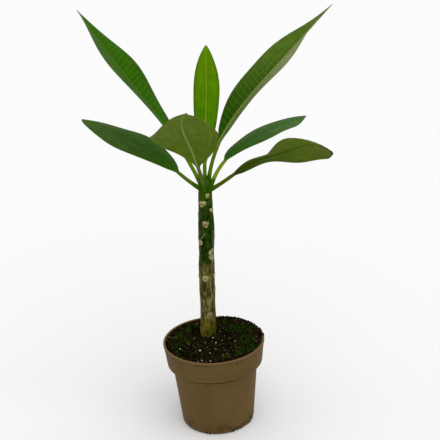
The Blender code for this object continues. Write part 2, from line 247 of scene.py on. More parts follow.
def pot_finish():
    """Mottled matt plastic with moulding streaks, a painted highlight along the top of the lip, painted shade under
    the lip and under the collar's step, a darker inside wall above the soil, soil stains at its foot and small dark
    marks.
    """
    material, tree, shader = new_finish("taupe_plastic", 0.62, 0.09)
    height = height_of(tree)
    cloud = grain(tree, 22, 4)
    colour = blend(tree, spread(tree, cloud, 0.3, 0.7), tone(88, 68, 34), tone(98, 77, 41))
    streak = grain(tree, 130, 3, stretch=(1, 1, 0.08))
    colour = blend(tree, spread(tree, streak, 0.55, 0.75, 0, 0.3), colour, tone(78, 60, 30))
    speck = grain(tree, 900, 2)
    colour = blend(tree, spread(tree, speck, 0.55, 0.75, 0, 0.3), colour, tone(116, 96, 60))
    collar = spread(tree, height, STEP_HEIGHT - 1 * MM, STEP_HEIGHT + 3 * MM, 1, 0.93)
    colour = blend(tree, 1.0, colour, collar, "MULTIPLY")
    # Painted shade: a dark brown band on the body just under the collar's step, where the collar's shadow falls.
    corner = band(tree, height, STEP_HEIGHT - STEP_DROP - 2.2 * MM, STEP_HEIGHT - 0.5 * MM, 1.4 * MM)
    colour = blend(tree, sums(tree, "MULTIPLY", corner, 0.9), colour, tone(44, 28, 8))
    patchy = spread(tree, grain(tree, 60, 3), 0.35, 0.65)
    # Painted shade: a broken dark line on the collar just below the lip's overhang.
    lip_foot = POT_HEIGHT - LIP_HEIGHT
    under_lip_shade = sums(tree, "MULTIPLY", band(tree, height, lip_foot - 0.8 * MM, lip_foot, 0.8 * MM), patchy)
    colour = blend(tree, sums(tree, "MULTIPLY", under_lip_shade, 0.7), colour, tone(62, 40, 16))
    # Painted highlight: the top edge of the lip is lightened where light catches it.
    rim_highlight = spread(tree, height, POT_HEIGHT - 1.0 * MM, POT_HEIGHT - 0.3 * MM, 0, 0.5)
    colour = blend(tree, rim_highlight, colour, tone(128, 106, 70))
    for ring in COLLAR_RINGS:
        line = sums(tree, "MULTIPLY", band(tree, height, ring - 0.3 * MM, ring + 0.3 * MM, 0.5 * MM), patchy)
        colour = blend(tree, sums(tree, "MULTIPLY", line, 0.35), colour, tone(66, 48, 20))
    damp = sums(tree, "MULTIPLY", spread(tree, height, 0.030, 0.004), spread(tree, grain(tree, 70, 5), 0.45, 0.7))
    colour = blend(tree, damp, colour, tone(74, 56, 26))
    low = spread(tree, height, 0.020, 0.006)
    dirt = sums(tree, "MULTIPLY", low, spread(tree, grain(tree, 620, 3), 0.6, 0.68, 0, 0.8))
    colour = blend(tree, dirt, colour, tone(46, 30, 12))
    rust = sums(tree, "MULTIPLY", low, spread(tree, grain(tree, 540, 2), 0.63, 0.68, 0, 0.8))
    colour = blend(tree, rust, colour, tone(140, 86, 44))
    for mark_height, mark_angle, mark_radius, strength in POT_MARKS:
        middle = on_wall(mark_height, mark_angle)
        away = add_node(tree, "ShaderNodeVectorMath", {0: place(tree), 1: middle}, operation="DISTANCE").outputs[1]
        away = sums(tree, "ADD", away, sums(tree, "MULTIPLY", grain(tree, 500, 3), 1.6 * MM))
        mark = spread(tree, away, (mark_radius + 1.1) * MM, (mark_radius + 0.3) * MM, 0, strength)
        colour = blend(tree, mark, colour, tone(44, 30, 12))
    from_axis = add_node(tree, "ShaderNodeVectorMath", {0: place(tree), 1: (1, 1, 0)}, operation="MULTIPLY")
    from_axis = add_node(tree, "ShaderNodeVectorMath", {0: from_axis.outputs[0]}, operation="LENGTH").outputs[1]
    flare = (RIM_RADIUS - LIP_STAND - COLLAR_FOOT_RADIUS) / COLLAR_HEIGHT
    straight = sums(tree, "SUBTRACT", from_axis, sums(tree, "MULTIPLY", height, flare))
    wall_middle = RIM_RADIUS - LIP_STAND - 0.6 * POT_WALL - flare * POT_HEIGHT
    inside = sums(tree, "MULTIPLY", spread(tree, straight, wall_middle + 0.3 * MM, wall_middle - 0.3 * MM),
                  spread(tree, grain(tree, 240, 4), 0.3, 0.5, 0.6, 0.95))
    inside = sums(tree, "MULTIPLY", inside, band(tree, height, STEP_HEIGHT + 3 * MM, POT_HEIGHT - 1.6 * MM, 1.2 * MM))
    colour = blend(tree, inside, colour, tone(34, 26, 12))
    tree.links.new(colour, shader.inputs["Base Color"])
    tree.links.new(spread(tree, cloud, 0.3, 0.7, 0.55, 0.7), shader.inputs["Roughness"])
    emboss(tree, shader, speck, 0.06 * MM, 0.5)
    return material


pot_outline = rounded([
    (0, BASE_HOLLOW, 0),
    (BASE_RADIUS - FOOT_ROUNDING - BASE_RING, BASE_HOLLOW, 0),
    (BASE_RADIUS - FOOT_ROUNDING - BASE_RING + BASE_HOLLOW, 0, 0.3 * MM),
    (BASE_RADIUS, 0, FOOT_ROUNDING),
    (BODY_TOP_RADIUS, STEP_HEIGHT - STEP_DROP, 1 * MM),
    (COLLAR_FOOT_RADIUS, STEP_HEIGHT, 1 * MM),
    (RIM_RADIUS - LIP_STAND, POT_HEIGHT - LIP_HEIGHT, 0.4 * MM),
    (RIM_RADIUS, POT_HEIGHT - LIP_HEIGHT + LIP_STAND, 0.5 * MM),
    (RIM_RADIUS, POT_HEIGHT, 0.9 * MM),
    (RIM_RADIUS - LIP_STAND - POT_WALL, POT_HEIGHT, 0.5 * MM),
    (COLLAR_FOOT_RADIUS - POT_WALL, STEP_HEIGHT + POT_WALL, 1 * MM),
    (BODY_TOP_RADIUS - POT_WALL, STEP_HEIGHT - STEP_DROP + POT_WALL, 1 * MM),
    (BASE_RADIUS - POT_WALL, FOOT_ROUNDING, 1 * MM),
    (BASE_RADIUS - FOOT_ROUNDING, POT_WALL, 1 * MM),
    (0, POT_WALL, 0),
])
pot = add_piece("pot_shell", turned(pot_outline, POT_SIDES), tube_faces(len(pot_outline) - 2, POT_SIDES), pot_finish())

slot_corners = [(x, y, z) for x in (BASE_RADIUS - SLOT_REACH, BASE_RADIUS + POT_WALL)
                for y in (-SLOT_WIDTH / 2, SLOT_WIDTH / 2) for z in (-SLOT_HEIGHT, SLOT_HEIGHT)]
slot_faces = [(0, 1, 3, 2), (4, 6, 7, 5), (0, 4, 5, 1), (2, 3, 7, 6), (0, 2, 6, 4), (1, 5, 7, 3)]
cutter_points, cutter_faces = [], []
for k in range(SLOT_COUNT):
    turn = Matrix.Rotation(radians(SLOT_FIRST_ANGLE + 360 * k / SLOT_COUNT), 3, "Z")
    cutter_faces += [tuple(corner + len(cutter_points) for corner in face) for face in slot_faces]
    cutter_points += [turn @ Vector(corner) for corner in slot_corners]
cutter = add_piece("slot_cutter", cutter_points, cutter_faces)
cut = pot.modifiers.new("slots", "BOOLEAN")
cut.operation = "DIFFERENCE"
cut.object = cutter
made_plain(pot)
bpy.data.objects.remove(cutter)
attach(pot, "root")
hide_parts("pot")

# Soil
# Dark damp peat pressed into the pot, crumbly on top and heaped at the back right, where it hides the
# pot's rim. Its top carries crumbs, fibres, white grains and moss.
SOIL_GAP = 0.3 * MM
SOIL_EDGE_HEIGHT = 102.3 * MM
SOIL_CROWN = 5.5 * MM
SOIL_CROWN_WIDTH = 30 * MM
HEAP_HEIGHT = 7.5 * MM
HEAP_ANGLE = 44
HEAP_SPREAD = 50
HEAP_RADIUS = 48 * MM
HEAP_WIDTH = 12 * MM
LUMP_HEIGHT = 0.8 * MM
LUMP_WIDTH = 5 * MM
LUMP_MARGIN = 6 * MM
CLOD_HEIGHT = 1.3 * MM
CLOD_SCALE = 240
SOIL_RINGS = 110
SOIL_SIDES = 320
PATCH_BREAK = 320
CRUMB_DENSITY = 260000
FIBRE_DENSITY = 24000
LEDGE_FIRST = -2
LEDGE_LAST = 84
LEDGE_STEPS = 40
LEDGE_FADE = 6
LEDGE_WIDTH = 5 * MM


def soil_height(x, y):
    """Height of the soil's top: a low crown, a heap and small lumps."""
    radius = np.hypot(x, y)
    angle = np.degrees(np.arctan2(y, x))
    level = SOIL_EDGE_HEIGHT + SOIL_CROWN * np.exp(-(radius / SOIL_CROWN_WIDTH) ** 2)
    off_heap = (angle - HEAP_ANGLE + 180) % 360 - 180
    heap = np.exp(-(off_heap / HEAP_SPREAD) ** 2 - ((radius - HEAP_RADIUS) / HEAP_WIDTH) ** 2)
    lumps = np.sin(x / LUMP_WIDTH) * np.sin(y / LUMP_WIDTH) + np.sin((x + y) / LUMP_WIDTH)
    edge = np.clip((RIM_RADIUS - radius) / LUMP_MARGIN, 0, 1)
    return level + HEAP_HEIGHT * heap * np.sqrt(edge) + LUMP_HEIGHT * lumps * edge


def clods(x, y):
    """Small broken lumps on the soil's top."""
    return noise.turbulence(Vector((x, y, 0)) * CLOD_SCALE, 4, False) * CLOD_HEIGHT


def peat_finish(name, dark, pale, speckle):
    """Damp peat: dark, with paler brown crumbs."""
    material, tree, shader = new_finish(name, 1.0, 0.0)
    shade = spread(tree, grain(tree, 420, 5), 0.35, 0.7)
    colour = blend(tree, shade, dark, pale)
    colour = blend(tree, spread(tree, grain(tree, 1300, 2), 0.66, 0.74), colour, speckle)
    damp = spread(tree, grain(tree, 85, 3), 0.36, 0.6, 0.45, 1.2)
    colour = blend(tree, 1.0, colour, damp, "MULTIPLY")
    tree.links.new(colour, shader.inputs["Base Color"])
    emboss(tree, shader, grain(tree, 1500, 4), 0.4 * MM)
    return material


def scattered(name, ground, shape, material, mask, density, seed, low, high, lean):
    """Copies of a shape on the ground's faces, as one plain mesh.

    The mask is a share per ground point that thins them out. Low and high bound each copy's size along
    its own axes, and lean is how far it tips over, in degrees. Each copy gets a tint from 0 to 1.
    """
    tree = bpy.data.node_groups.new(name, "GeometryNodeTree")
    tree.interface.new_socket("Ground", in_out="INPUT", socket_type="NodeSocketGeometry")
    density_socket = tree.interface.new_socket("Density", in_out="INPUT", socket_type="NodeSocketFloat")
    seed_socket = tree.interface.new_socket("Seed", in_out="INPUT", socket_type="NodeSocketInt")
    low_socket = tree.interface.new_socket("Smallest", in_out="INPUT", socket_type="NodeSocketVector")
    high_socket = tree.interface.new_socket("Largest", in_out="INPUT", socket_type="NodeSocketVector")
    tree.interface.new_socket("Copies", in_out="OUTPUT", socket_type="NodeSocketGeometry")
    start = add_node(tree, "NodeGroupInput")
    thinned = add_node(tree, "GeometryNodeInputNamedAttribute", {"Name": mask}, data_type="FLOAT")
    per_area = add_node(tree, "ShaderNodeMath", {0: start.outputs["Density"], 1: thinned.outputs[0]},
                        operation="MULTIPLY")
    dots = add_node(tree, "GeometryNodeDistributePointsOnFaces",
                    {"Mesh": start.outputs["Ground"], "Density": per_area.outputs[0], "Seed": start.outputs["Seed"]})
    source = add_node(tree, "GeometryNodeObjectInfo", {"Object": shape})
    turn = add_node(tree, "FunctionNodeRandomValue", {"Seed": start.outputs["Seed"]}, data_type="FLOAT_VECTOR")
    turn.inputs[0].default_value = (-radians(lean), -radians(lean), 0)
    turn.inputs[1].default_value = (radians(lean), radians(lean), 2 * pi)
    size = add_node(tree, "FunctionNodeRandomValue", {"Seed": start.outputs["Seed"]}, data_type="FLOAT_VECTOR")
    tree.links.new(start.outputs["Smallest"], size.inputs[0])
    tree.links.new(start.outputs["Largest"], size.inputs[1])
    copies = add_node(tree, "GeometryNodeInstanceOnPoints",
                      {"Points": dots.outputs["Points"], "Instance": source.outputs["Geometry"],
                       "Rotation": turn.outputs[0], "Scale": size.outputs[0]})
    tint = add_node(tree, "FunctionNodeRandomValue", {"Seed": start.outputs["Seed"]}, data_type="FLOAT")
    kept = add_node(tree, "GeometryNodeStoreNamedAttribute",
                    {"Geometry": copies.outputs[0], "Name": "tint", "Value": tint.outputs[1]},
                    data_type="FLOAT", domain="INSTANCE")
    real = add_node(tree, "GeometryNodeRealizeInstances", {"Geometry": kept.outputs[0]})
    painted = add_node(tree, "GeometryNodeSetMaterial", {"Geometry": real.outputs[0], "Material": material})
    add_node(tree, "NodeGroupOutput", {"Copies": painted.outputs[0]})
    piece = bpy.data.objects.new(name, ground.data)
    bpy.context.scene.collection.objects.link(piece)
    nodes = piece.modifiers.new("scatter", "NODES")
    nodes.node_group = tree
    nodes[density_socket.identifier] = float(density)
    nodes[seed_socket.identifier] = seed
    nodes[low_socket.identifier] = [size * MM for size in low]
    nodes[high_socket.identifier] = [size * MM for size in high]
    made_plain(piece)
    bpy.data.objects.remove(shape)
    return piece


def lump_shape(name, seed):
    """A broken crumb of unit size: a cube's corners and faces pushed about, closed and with 24 faces."""
    rng = np.random.default_rng(seed)
    corners = [np.array((x, y, z), float) for x in (-1, 1) for y in (-1, 1) for z in (-1, 1)]
    middles = [np.array(p, float) for p in ((-1, 0, 0), (1, 0, 0), (0, -1, 0), (0, 1, 0), (0, 0, -1), (0, 0, 1))]
    points = [p * rng.uniform(0.24, 0.42) for p in corners] + [p * rng.uniform(0.42, 0.62) for p in middles]
    sides = [(0, 1, 3, 2), (4, 6, 7, 5), (0, 4, 5, 1), (2, 3, 7, 6), (0, 2, 6, 4), (1, 5, 7, 3)]
    faces = [(side[k], side[(k + 1) % 4], 8 + middle) for middle, side in enumerate(sides) for k in range(4)]
    return add_piece(name, points, faces)


def path_tube(points, radii, size=6):
    """Points and faces of a thin tube along a path."""
    points = [Vector(p) for p in points]
    rings = []
    for k, point in enumerate(points):
        along = (points[min(k + 1, len(points) - 1)] - points[max(k - 1, 0)]).normalized()
        side = along.cross(Vector((0.3, 0.2, 1))).normalized()
        up = side.cross(along)
        for turn in range(size):
            angle = 2 * pi * turn / size
            rings.append(point + radii[k] * (side * cos(angle) + up * sin(angle)))
    return rings + [points[0], points[-1]], tube_faces(len(points), size)


# Patches are places in the photograph's pixels, with their radius on the soil in millimetres
MOSS_PATCHES = (
    ((180, 336), 9), ((187, 331), 6), ((177, 346), 8), ((186, 343), 5), ((196, 327), 5), ((247, 341), 11),
    ((240, 351), 9), ((255, 348), 7), ((226, 357), 4), ((236, 328), 10), ((246, 330), 9), ((224, 323), 7),
)
LIME_MOSS_PATCHES = (((178, 356), 4), ((183, 359), 3), ((226, 357), 3), ((176, 339), 4), ((184, 331), 3),
                     ((238, 350), 3))
BARK_PATCHES = (((223, 320), 9), ((234, 322), 10), ((246, 324), 9), ((256, 330), 7))

# White grains in the photograph's pixels, with their width in millimetres
GRAINS = (
    ((213, 338), 1.9), ((220, 331.5), 1.6), ((216, 343), 1.7), ((231, 348), 1.5), ((235, 341.5), 1.4),
    ((210, 353.5), 2.0), ((200, 351), 2.3), ((180, 349.5), 2.3), ((189, 344.5), 1.5), ((202, 361), 2.0),
    ((210.5, 361.5), 1.8), ((223, 355.5), 1.5), ((197, 324), 1.5), ((191, 322), 1.3), ((194, 339), 1.3),
    ((222, 341), 1.1), ((229, 339), 1.1), ((198, 362), 1.4), ((205, 343), 1.1), ((215, 349), 1.2),
)


def on_soil(pixel):
    """The point of the soil's top that shows at a pixel of the photograph."""
    reach = LENS / SENSOR * PICTURE_SIZE
    ray = Vector(((pixel[0] - PICTURE_SIZE / 2) / reach, (PICTURE_SIZE / 2 - pixel[1]) / reach, -1))
    eye = camera.matrix_world.translation
    ray = camera.matrix_world.to_3x3() @ ray
    height = SOIL_EDGE_HEIGHT
    for _ in range(12):
        point = eye + ray * ((height - eye.z) / ray.z)
        height = float(soil_height(point.x, point.y))
    return Vector((point.x, point.y, height))


def patch_mask(points, patches):
    """How strongly each point lies inside any of the patches, from 0 to 1."""
    mask = np.zeros(len(points))
    for pixel, radius in patches:
        middle = on_soil(pixel)
        away = np.hypot(points[:, 0] - middle.x, points[:, 1] - middle.y) / (radius * MM)
        mask = np.maximum(mask, np.clip(1.3 - away, 0, 1) ** 1.5)
    broken = [noise.noise(Vector(point) * PATCH_BREAK) for point in points]
    return mask * np.clip(0.6 + 2.6 * np.array(broken), 0, 1)


edge_share = (SOIL_EDGE_HEIGHT - STEP_HEIGHT - POT_WALL) / (POT_HEIGHT - STEP_HEIGHT - POT_WALL)
wall_low = COLLAR_FOOT_RADIUS - POT_WALL - SOIL_GAP
wall_high = RIM_RADIUS - LIP_STAND - POT_WALL - SOIL_GAP
soil_edge = wall_low + (wall_high - wall_low) * edge_share
soil_points = []
for radius, height in ((BASE_RADIUS - FOOT_ROUNDING - SOIL_GAP, POT_WALL + SOIL_GAP),
                       (BASE_RADIUS - POT_WALL - SOIL_GAP, FOOT_ROUNDING + SOIL_GAP),
                       (BODY_TOP_RADIUS - POT_WALL - SOIL_GAP, STEP_HEIGHT - STEP_DROP + POT_WALL + SOIL_GAP),
                       (wall_low, STEP_HEIGHT + POT_WALL + SOIL_GAP)):
    for k in range(SOIL_SIDES):
        angle = 2 * pi * k / SOIL_SIDES
        soil_points.append((radius * cos(angle), radius * sin(angle), height))
for ring in range(SOIL_RINGS):
    radius = soil_edge * (1 - ring / SOIL_RINGS)
    for k in range(SOIL_SIDES):
        angle = 2 * pi * k / SOIL_SIDES
        x, y = radius * cos(angle), radius * sin(angle)
        soil_points.append((x, y, float(soil_height(x, y)) + clods(x, y) - CLOD_HEIGHT / 2))
soil_points += [(0, 0, POT_WALL + SOIL_GAP), (0, 0, float(soil_height(0, 0)))]
soil_material = peat_finish("damp_peat", tone(14, 12, 5), tone(40, 34, 17), tone(78, 66, 38))
soil = add_piece("soil_body", soil_points, tube_faces(SOIL_RINGS + 4, SOIL_SIDES), soil_material)
soil_array = np.array(soil_points)
on_top = (soil_array[:, 2] > SOIL_EDGE_HEIGHT - 4 * MM).astype(float)
masks = {
    "crumbs": on_top,
    "moss": on_top * patch_mask(soil_array, MOSS_PATCHES),
    "lime_moss": on_top * patch_mask(soil_array, LIME_MOSS_PATCHES),
    "bark": on_top * patch_mask(soil_array, BARK_PATCHES),
}
for mask_name, values in masks.items():
    soil.data.attributes.new(mask_name, "FLOAT", "POINT").data.foreach_set("value", values)

crumbs = scattered("soil_crumbs", soil, lump_shape("crumb", 3), soil_material, "crumbs", CRUMB_DENSITY, 5,
                   (0.8, 0.8, 0.6), (2.6, 2.2, 1.5), 180)
fibre_path = [(0.16 * k - 0.4, 0.12 * sin(1.1 * k), 0.05 * sin(0.9 * k)) for k in range(6)]
fibre = add_piece("fibre", *path_tube(fibre_path, [0.02] * 6, 4))
fibre_material = peat_finish("peat_fibre", tone(30, 24, 10), tone(64, 50, 24), tone(96, 80, 44))
fibres = scattered("soil_fibres", soil, fibre, fibre_material, "crumbs", FIBRE_DENSITY, 11,
                   (3, 3, 3), (9, 9, 9), 35)
bark_material = peat_finish("bark_bits", tone(26, 14, 6), tone(70, 32, 18), tone(96, 52, 32))
bark = scattered("bark_bits", soil, lump_shape("bark", 8), bark_material, "bark", 110000, 17,
                 (2.0, 1.2, 0.8), (4.6, 3.0, 2.0), 60)

# Clods that the heap has pushed onto the pot's rim
ledge_points, ledge_faces, ledge_shares = [], [], []
for k in range(LEDGE_STEPS + 1):
    angle = radians(LEDGE_FIRST + (LEDGE_LAST - LEDGE_FIRST) * k / LEDGE_STEPS)
    for radius, height in ((RIM_RADIUS - LEDGE_WIDTH, POT_HEIGHT - 0.8 * MM), (RIM_RADIUS - 0.6 * MM, POT_HEIGHT)):
        ledge_points.append((radius * cos(angle), radius * sin(angle), height))
        ledge_shares.append(min(k, LEDGE_STEPS - k, LEDGE_FADE) / LEDGE_FADE)
ledge_faces = [(k, k + 1, k + 3, k + 2) for k in range(0, 2 * LEDGE_STEPS, 2)]
ledge = add_piece("ledge", ledge_points, ledge_faces)
ledge.data.attributes.new("ledge", "FLOAT", "POINT").data.foreach_set("value", ledge_shares)
rim_clods = scattered("rim_clods", ledge, lump_shape("clod", 12), soil_material, "ledge", 420000, 41,
                      (1.4, 1.4, 1.2), (3.6, 3.2, 3.0), 180)
rim_bark = scattered("rim_bark", ledge, lump_shape("rim_bit", 15), bark_material, "ledge", 120000, 43,
                     (1.4, 1.2, 1.0), (4.4, 2.8, 2.4), 70)
bpy.data.objects.remove(ledge)

# White grains
# Bits of perlite, a light volcanic glass puffed up like popcorn, which is mixed into peat. The larger ones
# lie where the photograph shows them and the fine ones are strewn about.
GRAIN_SHARE = 1
grain_material, tree, shader = new_finish("perlite", 0.9, 0.05)
grain_colour = blend(tree, grain(tree, 900, 3), tone(150, 142, 100), tone(216, 208, 176))
tree.links.new(grain_colour, shader.inputs["Base Color"])
emboss(tree, shader, grain(tree, 1600, 3), 0.3 * MM)
grain_points, grain_faces = [], []
for number, (pixel, width) in enumerate(GRAINS):
    shape = lump_shape("grain", 40 + number)
    middle = on_soil(pixel) + Vector((0, 0, 0.3 * width * MM))
    grain_faces += [tuple(v + len(grain_points) for v in face.vertices) for face in shape.data.polygons]
    stretch = (1, 0.7 + 0.3 * cos(3 * number), 0.75)
    turn = Matrix.Rotation(number, 3, "Z") @ Matrix.Diagonal(stretch)
    grain_points += [middle + turn @ vertex.co * GRAIN_SHARE * width * MM for vertex in shape.data.vertices]
    bpy.data.objects.remove(shape)
grains = add_piece("perlite_large", grain_points, grain_faces, grain_material)
fine_grains = scattered("perlite_fine", soil, lump_shape("fine_grain", 9), grain_material, "crumbs", 30000, 23,
                        (0.3, 0.3, 0.25), (0.95, 0.8, 0.6), 180)

# Moss
# Soft cushions of fine green moss on the damp peat, each shoot a few millimetres high, dark on the whole
# with a few yellow green tufts at the front rim, and one pale dry stalk lying over the left cushion.
STALK_PIXELS = ((168.5, 338.5), (172, 340), (176, 339), (180.5, 336.5))


def moss_finish(name, dark, bright):
    material, tree, shader = new_finish(name, 0.9, 0.0)
    tint = add_node(tree, "ShaderNodeAttribute", attribute_name="tint").outputs["Fac"]
    tree.links.new(blend(tree, spread(tree, tint, 0.3, 1.1), dark, bright), shader.inputs["Base Color"])
    return material


def shoot_shape(name):
    """A moss shoot of unit height: a narrow leafy spindle that bends over at its tip."""
    path = [(0, 0, 0), (0.03, 0, 0.35), (0.1, 0, 0.7), (0.24, 0, 1)]
    return add_piece(name, *path_tube(path, [0.05, 0.13, 0.09, 0.015], 4))


moss_material = moss_finish("moss", tone(15, 26, 4), tone(66, 100, 20))
moss = scattered("moss_cushions", soil, shoot_shape("shoot"), moss_material, "moss", 2400000, 31,
                 (2, 2, 1.6), (3.4, 3.4, 3.6), 40)
lime_material = moss_finish("lime_moss", tone(38, 52, 6), tone(104, 116, 22))
lime_moss = scattered("moss_lime", soil, shoot_shape("lime_shoot"), lime_material, "lime_moss", 2200000, 37,
                      (2, 2, 1.4), (3, 3, 2.8), 45)
straw_material = peat_finish("straw", tone(92, 92, 44), tone(130, 128, 74), tone(150, 148, 96))
straw_path = [on_soil(pixel) + Vector((0, 0, 2.6 * MM)) for pixel in STALK_PIXELS]
straw = add_piece("dry_stalk", *path_tube(straw_path, [0.3 * MM] * len(straw_path)), straw_material)
for piece in (soil, crumbs, fibres, bark, rim_clods, rim_bark, grains, fine_grains, moss, lime_moss, straw):
    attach(piece, "root")
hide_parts("soil")

# Slot crumbs
# Watering washes peat and thin root ends out through the drain slots, where they dry and stick to the wall.
# The left and right slots of the photograph show the most, and two red brown root ends hang at the front.
# Place and size of each bit: angle, height and width, in degrees and millimetres
SLOT_SOIL = (
    (-141, 10.7, 1.4), (-142, 6.6, 1.5), (-138, 8.2, 1.1), (-109, 2.4, 1.8), (-104, 1.6, 1.6), (-68, 2.4, 1.5),
    (-65, 2.7, 1.7), (-60, 4.3, 1.5), (-56, 5.2, 1.3), (-51, 7.9, 1.3), (-46, 8, 1.1), (-52, 3.4, 1.5),
    (-33, 2.4, 1.7), (-29, 5, 1.6), (-25, 7.4, 1.5), (-22, 3.6, 1.9), (-27, 1.8, 1.8), (66, 2.2, 1.7),
    (74, 3.4, 1.4), (118, 1.9, 1.9), (164, 2.6, 1.6), (25, 2.2, 1.8),
)
SLOT_ROOTS = (
    (-134, 11.7, 1.5), (-130, 9.2, 1.4), (-126, 7.5, 1.2), (-135, 15, 0.9), (-131, 13, 0.8), (-107, 5, 1.1),
    (-107.5, 2.4, 1.3), (-27, 6.5, 1.4), (-24, 8.8, 1.3), (-31, 6.8, 1), (-62, 7, 0.8), (70, 4.6, 1.2),
    (121, 3.8, 1.2),
)

root_material = peat_finish("root_ends", tone(84, 40, 16), tone(140, 84, 44), tone(186, 160, 110))
for name, spots, material in (("slot_soil", SLOT_SOIL, soil_material), ("slot_roots", SLOT_ROOTS, root_material)):
    bit_points, bit_faces = [], []
    for number, (angle, height, width) in enumerate(spots):
        shape = lump_shape("bit", 70 + number)
        middle = on_wall(max(height, 0.6 * width), angle)
        bit_faces += [tuple(v + len(bit_points) for v in face.vertices) for face in shape.data.polygons]
        bit_points += [middle + vertex.co * width * MM for vertex in shape.data.vertices]
        bpy.data.objects.remove(shape)
    bits = add_piece(name, bit_points, bit_faces, material)
    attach(bits, "root")

# Cane
# The single unbranched stem, leafless but for its crown. The young bark is smooth and green at the top and
# corky grey brown at the foot, with raised pale scars where older leaves have dropped.
CANE_FOOT = np.array((-8.1, 12, 58)) * MM
CANE_TOP = np.array((1.3, 12, 295.8)) * MM
CANE_RADII = (
    (58, 8.4), (64, 9.2), (106, 9.2), (113, 9.6), (125, 9.4), (140, 8.9), (148, 8.8), (160, 9.2),
    (172, 9.1), (180, 9.0), (190, 9.3), (197, 9.4), (210, 8.5), (222, 8.9), (230, 9.4), (245, 9.3),
    (258, 8.5), (270, 8.1), (279, 8.0), (286, 7.8), (288.5, 7.4), (290.5, 6.9), (292.5, 5.9),
    (294.3, 4.3), (295.4, 2.6), (295.8, 1.0),
)
CANE_RIPPLE = 0.3 * MM
RIPPLE_COUNT = 3
RIPPLE_LENGTH = 17 * MM
CANE_SIDES = 128
CANE_ROW = 0.55 * MM
BARK_GRAIN = 0.25 * MM
BUD_LENGTH = 5 * MM
SCAR_STAND = 0.7 * MM
# Small scales round the growing tip: place, foot and tip height, and radius, in millimetres
BUD_SCALES = ((-1.6, 11.2, 288, 301, 2.4), (2.8, 8.6, 288, 302.5, 2.5), (4.8, 12.4, 288, 300, 2.3))
BUD_SHARES = (0, 0.3, 0.55, 0.75, 0.9, 1)
BUD_FORM = (0.7, 1, 0.9, 0.65, 0.35, 0.06)
# Leaf scars: height in millimetres, angle round the cane in degrees, half width and half height
SCARS = (
    (283.5, -73, 2.2, 2.9), (273.8, -116, 4.0, 3.8), (265, -36, 2.9, 3.2), (258.5, -178, 3.4, 2.8),
    (249.5, -93, 3.7, 4.0), (227, -139, 4.0, 3.4), (214.5, -54, 3.4, 3.8), (207.5, -46, 3.8, 3.6),
    (182, -106, 3.8, 4.2), (184.5, -26, 2.8, 3.0), (166.5, -16, 2.8, 2.6), (134.5, -77, 3.8, 4.4),
    (276, 60, 3.8, 3.8), (256, 110, 3.6, 3.8), (238, 40, 3.8, 4.0), (217, 140, 3.6, 3.8),
    (199, 80, 3.8, 4.0), (181, 155, 3.6, 3.8), (165, 45, 3.8, 4.0), (137, 105, 3.6, 4.0),
)


def cane_axis(height):
    share = (height - CANE_FOOT[2]) / (CANE_TOP[2] - CANE_FOOT[2])
    return CANE_FOOT * (1 - share) + CANE_TOP * share


def cane_radius(height):
    heights, radii = zip(*CANE_RADII)
    return np.interp(height / MM, heights, radii) * MM


# Scratches: from and to as height and angle round the cane, and half width, in millimetres and degrees
SCRATCHES = (((228, -143), (238.5, -97), 0.42), ((205, -46), (198, -42), 0.6), ((156, -176), (149, -172), 0.5))


def scar_at(height, angle):
    """How deep inside a leaf scar a point lies, from 0 at its edge to 1 at its middle.

    A scar is a shield, widest above its middle, with a ragged edge.
    """
    inside = 0
    ragged = 0.45 * noise.fractal(Vector((cos(angle) * 9, sin(angle) * 9, height / MM)) * 0.9, 1.0, 2.0, 3)
    for number, (scar_height, scar_angle, half_width, half_height) in enumerate(SCARS):
        turn = (angle - radians(scar_angle) + pi) % (2 * pi) - pi
        along = (height - scar_height * MM) / (half_height * MM)
        if abs(along) > 1.5 or abs(turn) > 1.2:
            continue
        skew = 0.35 * sin(2.4 * number)
        across = (turn * cane_radius(height) / (half_width * MM) - skew * along) / (1 + 0.42 * max(along, -1.5))
        inside = max(inside, 1 - (abs(across) ** 2.6 + abs(along) ** 2.6) + ragged)
    return min(inside, 1)


def scratch_at(height, angle):
    """1 on a pale scratch in the bark, 0 off it."""
    found = 0
    for (low_height, low_angle), (high_height, high_angle), half_width in SCRATCHES:
        run = np.array(((high_height - low_height) * MM, radians(high_angle - low_angle) * cane_radius(height)))
        step = np.array((height - low_height * MM, (angle - radians(low_angle) + pi) % (2 * pi) - pi))
        step[1] *= cane_radius(height)
        share = np.clip(step @ run / (run @ run), 0, 1)
        found = max(found, 1.4 - np.linalg.norm(step - share * run) / (half_width * MM))
    return min(max(found, 0), 1)


